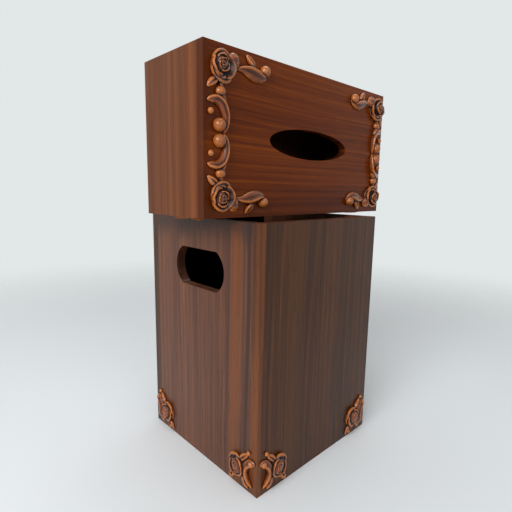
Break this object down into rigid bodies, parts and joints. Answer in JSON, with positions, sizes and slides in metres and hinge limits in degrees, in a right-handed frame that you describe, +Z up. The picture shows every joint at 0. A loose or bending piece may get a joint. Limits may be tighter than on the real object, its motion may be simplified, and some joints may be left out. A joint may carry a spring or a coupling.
{
  "type": "tissue box and waste bin set",
  "caption": "Carved dark-wood tissue box lying on its long side on top of a matching square waste bin with hand holes; the box lifts off and its base panel slides out.",
  "frame": {"origin": "middle of the waste bin's underside, on the floor", "axes": "+Z up; -Y is the bin's front, which the tissue box's slot also faces; +X is the way the tissue box's base panel slides out"},
  "size_m": [0.26, 0.188, 0.391],
  "materials": {
    "rosewood_boards": "gloss",
    "carved_ornament": "gloss",
    "plain_panel": "satin"
  },
  "bodies": {
    "bin": {"bin_front_wall": "rosewood_boards", "bin_back_wall": "rosewood_boards", "bin_left_wall": "rosewood_boards", "bin_right_wall": "rosewood_boards", "bin_base_board": "plain_panel", "foot_ornament_front_left": "carved_ornament", "foot_ornament_front_right": "carved_ornament", "foot_ornament_back_left": "carved_ornament", "foot_ornament_back_right": "carved_ornament", "foot_ornament_left_front": "carved_ornament", "foot_ornament_left_back": "carved_ornament", "foot_ornament_right_front": "carved_ornament", "foot_ornament_right_back": "carved_ornament"},
    "tissue_box": {"slot_board": "rosewood_boards", "box_left_end": "rosewood_boards", "box_right_end": "rosewood_boards", "box_lower_side": "rosewood_boards", "box_upper_side": "rosewood_boards", "slot_ornament_lower_left": "carved_ornament", "slot_ornament_lower_right": "carved_ornament", "slot_ornament_upper_left": "carved_ornament", "slot_ornament_upper_right": "carved_ornament", "spray_lower_left": "carved_ornament", "spray_lower_right": "carved_ornament", "spray_upper_left": "carved_ornament", "spray_upper_right": "carved_ornament"},
    "base_panel": {"box_base_panel": "plain_panel"}
  },
  "joints": [
    {"name": "box_lift", "type": "slide", "parent": "bin", "child": "tissue_box", "axis": [0, 0, 1], "range_m": [0, 0.15]},
    {"name": "panel_slide", "type": "slide", "parent": "tissue_box", "child": "base_panel", "axis": [1, 0, 0], "range_m": [0, 0.24]}
  ]
}
